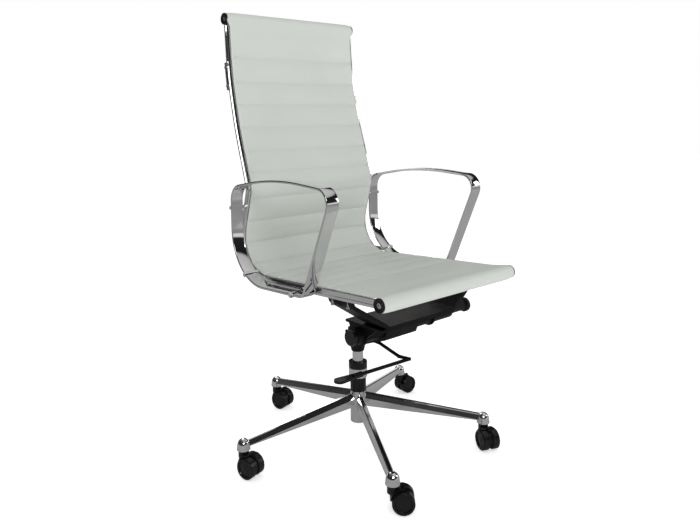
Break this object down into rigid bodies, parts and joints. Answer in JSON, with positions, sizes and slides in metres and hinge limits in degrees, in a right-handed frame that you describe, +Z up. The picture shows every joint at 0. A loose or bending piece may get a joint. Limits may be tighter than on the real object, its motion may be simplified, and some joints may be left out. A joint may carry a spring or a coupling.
{
  "type": "swivel office chair",
  "caption": "High-back swivel office chair: padded sling seat and back between side rails, loop armrests, torsion tilt, gas lift, star base on twin-wheel casters",
  "frame": {"origin": "on the floor, under the swivel axis", "axes": "+Z up along the swivel axis; the sitter faces -Y with the lift down and the seat square to the base; +X is the sitter's left"},
  "size_m": [0.6744, 0.6663, 1.1275],
  "materials": {
    "polished_frame": "mirror-polished plate",
    "polished_arm": "mirror-polished plate",
    "polished_base": "polished casting",
    "bright_steel": "bright turned steel",
    "plain_steel": "plain steel",
    "black_paint": "black powder coat",
    "black_plastic": "fine satin grain",
    "caster_plastic": "smooth satin",
    "bearing_plastic": "plain moulded",
    "sling_cover": "pale sage grey coated cover with fine grain over thin padding"
  },
  "bodies": {
    "base": {"star_base": "polished_base", "column_tube": "polished_base", "guide_sleeve": "black_plastic", "column_collar": "black_plastic", "piston_rod": "plain_steel", "thrust_bearing": "plain_steel", "rod_clip": "plain_steel"},
    "lift": {"gas_cylinder": "bright_steel"},
    "valve": {"valve_pin": "plain_steel"},
    "mechanism": {"mech_housing": "black_paint", "torsion_tube": "black_paint", "torsion_sleeve": "bearing_plastic", "tube_cap": "black_plastic"},
    "knob": {"tension_knob": "black_plastic", "tension_rod": "plain_steel"},
    "lever": {"height_lever": "black_paint", "lever_paddle": "black_plastic"},
    "seat": {"seat_plate": "black_paint", "plate_bolts": "plain_steel", "seat_spreader": "black_paint", "spreader_bolts": "plain_steel", "back_spreader": "polished_frame", "rail_left": "polished_frame", "rail_right": "polished_frame", "top_roll": "plain_steel", "front_roll": "plain_steel", "roll_caps": "black_plastic", "sling": "sling_cover", "arm_left": "polished_arm", "arm_right": "polished_arm", "arm_clips": "polished_arm", "arm_screws": "bright_steel"},
    "caster_1": {"caster_hood_1": "caster_plastic", "caster_stem_1": "plain_steel", "caster_axle_1": "plain_steel"},
    "wheel_left_1": {"wheel_left_1": "caster_plastic"},
    "wheel_right_1": {"wheel_right_1": "caster_plastic"},
    "caster_2": {"caster_hood_2": "caster_plastic", "caster_stem_2": "plain_steel", "caster_axle_2": "plain_steel"},
    "wheel_left_2": {"wheel_left_2": "caster_plastic"},
    "wheel_right_2": {"wheel_right_2": "caster_plastic"},
    "caster_3": {"caster_hood_3": "caster_plastic", "caster_stem_3": "plain_steel", "caster_axle_3": "plain_steel"},
    "wheel_left_3": {"wheel_left_3": "caster_plastic"},
    "wheel_right_3": {"wheel_right_3": "caster_plastic"},
    "caster_4": {"caster_hood_4": "caster_plastic", "caster_stem_4": "plain_steel", "caster_axle_4": "plain_steel"},
    "wheel_left_4": {"wheel_left_4": "caster_plastic"},
    "wheel_right_4": {"wheel_right_4": "caster_plastic"},
    "caster_5": {"caster_hood_5": "caster_plastic", "caster_stem_5": "plain_steel", "caster_axle_5": "plain_steel"},
    "wheel_left_5": {"wheel_left_5": "caster_plastic"},
    "wheel_right_5": {"wheel_right_5": "caster_plastic"}
  },
  "joints": [
    {"name": "lift_slide", "type": "slide", "parent": "base", "child": "lift", "axis": [0, 0, 1], "range_m": [0, 0.1]},
    {"name": "valve_slide", "type": "slide", "parent": "lift", "child": "valve", "axis": [0, 0, -1], "range_m": [0, 0.0037], "stiffness_N_per_m": 200, "springref_m": -0.002},
    {"name": "swivel", "type": "hinge", "parent": "lift", "child": "mechanism", "pos_m": [0, 0, 0.27], "axis": [0, 0, 1], "continuous": true},
    {"name": "tension_turn", "type": "hinge", "parent": "mechanism", "child": "knob", "pos_m": [0.2, -0.14, 0.338], "axis": [1, 0, 0], "range_deg": [0, 1080]},
    {"name": "lever_turn", "type": "hinge", "parent": "mechanism", "child": "lever", "pos_m": [-0.035, -0.06, 0.296], "axis": [0, 1, 0], "range_deg": [0, 6], "stiffness_Nm_per_rad": 0.6, "springref_deg": -28.65},
    {"name": "tilt", "type": "hinge", "parent": "mechanism", "child": "seat", "pos_m": [0, -0.14, 0.338], "axis": [-1, 0, 0], "range_deg": [0, 15], "stiffness_Nm_per_rad": 130, "springref_deg": -22.92},
    {"name": "caster_swivel_1", "type": "hinge", "parent": "base", "child": "caster_1", "pos_m": [0.28883, 0.13776, 0.066], "axis": [0, 0, 1], "continuous": true},
    {"name": "roll_left_1", "type": "hinge", "parent": "caster_1", "child": "wheel_left_1", "pos_m": [0.30961, 0.1229, 0.025], "axis": [-0.0872, -0.9962, 0], "continuous": true},
    {"name": "roll_right_1", "type": "hinge", "parent": "caster_1", "child": "wheel_right_1", "pos_m": [0.31188, 0.1488, 0.025], "axis": [-0.0872, -0.9962, 0], "continuous": true},
    {"name": "caster_swivel_2", "type": "hinge", "parent": "base", "child": "caster_2", "pos_m": [-0.04177, 0.31726, 0.066], "axis": [0, 0, 1], "continuous": true},
    {"name": "roll_left_2", "type": "hinge", "parent": "caster_2", "child": "wheel_left_2", "pos_m": [-0.04863, 0.29265, 0.025], "axis": [-0.9659, -0.2588, 0], "continuous": true},
    {"name": "roll_right_2", "type": "hinge", "parent": "caster_2", "child": "wheel_right_2", "pos_m": [-0.02352, 0.29938, 0.025], "axis": [-0.9659, -0.2588, 0], "continuous": true},
    {"name": "caster_swivel_3", "type": "hinge", "parent": "base", "child": "caster_3", "pos_m": [-0.31464, 0.05831, 0.066], "axis": [0, 0, 1], "continuous": true},
    {"name": "roll_left_3", "type": "hinge", "parent": "caster_3", "child": "wheel_left_3", "pos_m": [-0.3215, 0.0337, 0.025], "axis": [-0.9659, -0.2588, 0], "continuous": true},
    {"name": "roll_right_3", "type": "hinge", "parent": "caster_3", "child": "wheel_right_3", "pos_m": [-0.29639, 0.04043, 0.025], "axis": [-0.9659, -0.2588, 0], "continuous": true},
    {"name": "caster_swivel_4", "type": "hinge", "parent": "base", "child": "caster_4", "pos_m": [-0.15269, -0.28122, 0.066], "axis": [0, 0, 1], "continuous": true},
    {"name": "roll_left_4", "type": "hinge", "parent": "caster_4", "child": "wheel_left_4", "pos_m": [-0.14504, -0.3056, 0.025], "axis": [-0.6691, -0.7431, 0], "continuous": true},
    {"name": "roll_right_4", "type": "hinge", "parent": "caster_4", "child": "wheel_right_4", "pos_m": [-0.12764, -0.28628, 0.025], "axis": [-0.6691, -0.7431, 0], "continuous": true},
    {"name": "caster_swivel_5", "type": "hinge", "parent": "base", "child": "caster_5", "pos_m": [0.22027, -0.23212, 0.066], "axis": [0, 0, 1], "continuous": true},
    {"name": "roll_left_5", "type": "hinge", "parent": "caster_5", "child": "wheel_left_5", "pos_m": [0.19971, -0.24729, 0.025], "axis": [-0.9205, 0.3907, 0], "continuous": true},
    {"name": "roll_right_5", "type": "hinge", "parent": "caster_5", "child": "wheel_right_5", "pos_m": [0.22364, -0.25745, 0.025], "axis": [-0.9205, 0.3907, 0], "continuous": true}
  ],
  "couplings": [
    {"joint": "valve_slide", "follows": "lever_turn", "m_per_rad": 0.035}
  ]
}
